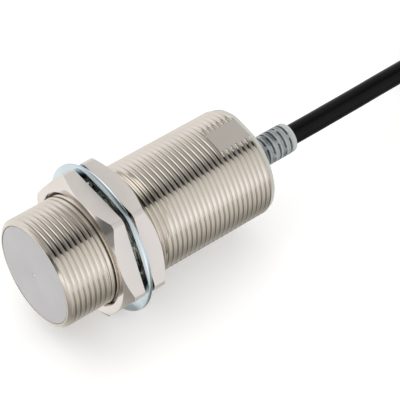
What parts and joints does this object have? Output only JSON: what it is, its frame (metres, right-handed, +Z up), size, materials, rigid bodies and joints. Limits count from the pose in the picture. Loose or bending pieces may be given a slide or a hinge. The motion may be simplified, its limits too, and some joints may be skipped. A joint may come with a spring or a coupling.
{
  "type": "cylindrical inductive proximity sensor",
  "caption": "M30 shielded inductive proximity sensor with two hexagon nuts, a toothed washer and a moulded-in cable tied in a hank.",
  "frame": {"origin": "centre of the sensing face", "axes": "+X along the barrel from the sensing face towards the cable, +Z up, +Y across"},
  "size_m": [0.2928, 0.0508, 0.041],
  "materials": {
    "nickel_brass": "satin nickel plate",
    "zinc_steel": "clear zinc plate",
    "grey_plastic": "satin",
    "translucent_plastic": "satin, translucent",
    "soft_protector": "satin, translucent",
    "black_pvc": "satin",
    "black_nylon": "satin",
    "ferrite": "matt",
    "bobbin_plastic": "matt",
    "copper": "bare",
    "laminate": "solder mask",
    "carrier_plastic": "matt",
    "chip_black": "matt",
    "ceramic_tan": "matt",
    "film_red": "dipped",
    "tantalum_yellow": "moulded",
    "led_amber": "clear",
    "resin": "cast",
    "ferrule_brass": "bare",
    "wire_brown": "satin",
    "wire_blue": "satin",
    "wire_black": "satin",
    "tinned_copper": "bare"
  },
  "bodies": {
    "barrel": {"housing_sleeve": "nickel_brass", "sensing_cap": "grey_plastic", "ferrite_core": "ferrite", "coil_bobbin": "bobbin_plastic", "coil_winding": "copper", "shield_band": "copper", "coil_leads": "copper", "board_carrier": "carrier_plastic", "circuit_board": "laminate", "oscillator_ic": "chip_black", "voltage_regulator": "chip_black", "output_transistor": "chip_black", "tank_capacitor": "film_red", "smoothing_capacitor": "tantalum_yellow", "surge_diode": "chip_black", "chip_resistors": "chip_black", "chip_capacitors": "ceramic_tan", "indicator_leds": "led_amber", "potting_resin": "resin", "rear_cover": "translucent_plastic", "strain_relief": "soft_protector", "crimp_ferrule": "ferrule_brass", "brown_core": "wire_brown", "blue_core": "wire_blue", "black_core": "wire_black", "cable_lead": "black_pvc", "cable_hank": "black_pvc", "hank_tie": "black_nylon", "brown_tail": "wire_brown", "blue_tail": "wire_blue", "black_tail": "wire_black", "tail_strands": "tinned_copper"},
    "front_nut": {"front_nut": "nickel_brass"},
    "rear_nut": {"rear_nut": "nickel_brass"},
    "toothed_washer": {"toothed_washer": "zinc_steel"}
  },
  "joints": [
    {"name": "washer_slide", "type": "slide", "parent": "barrel", "child": "toothed_washer", "axis": [-1, 0, 0], "range_m": [0, 0.01352]},
    {"name": "front_nut_spin", "type": "hinge", "parent": "toothed_washer", "child": "front_nut", "pos_m": [0.0164, 0, 0], "axis": [-1, 0, 0], "range_deg": [0, 3240]},
    {"name": "rear_nut_slide", "type": "slide", "parent": "barrel", "child": "rear_nut", "axis": [1, 0, 0], "range_m": [0, 0.033]}
  ],
  "couplings": [
    {"joint": "washer_slide", "follows": "front_nut_spin", "m_per_rad": 0.00023873}
  ]
}
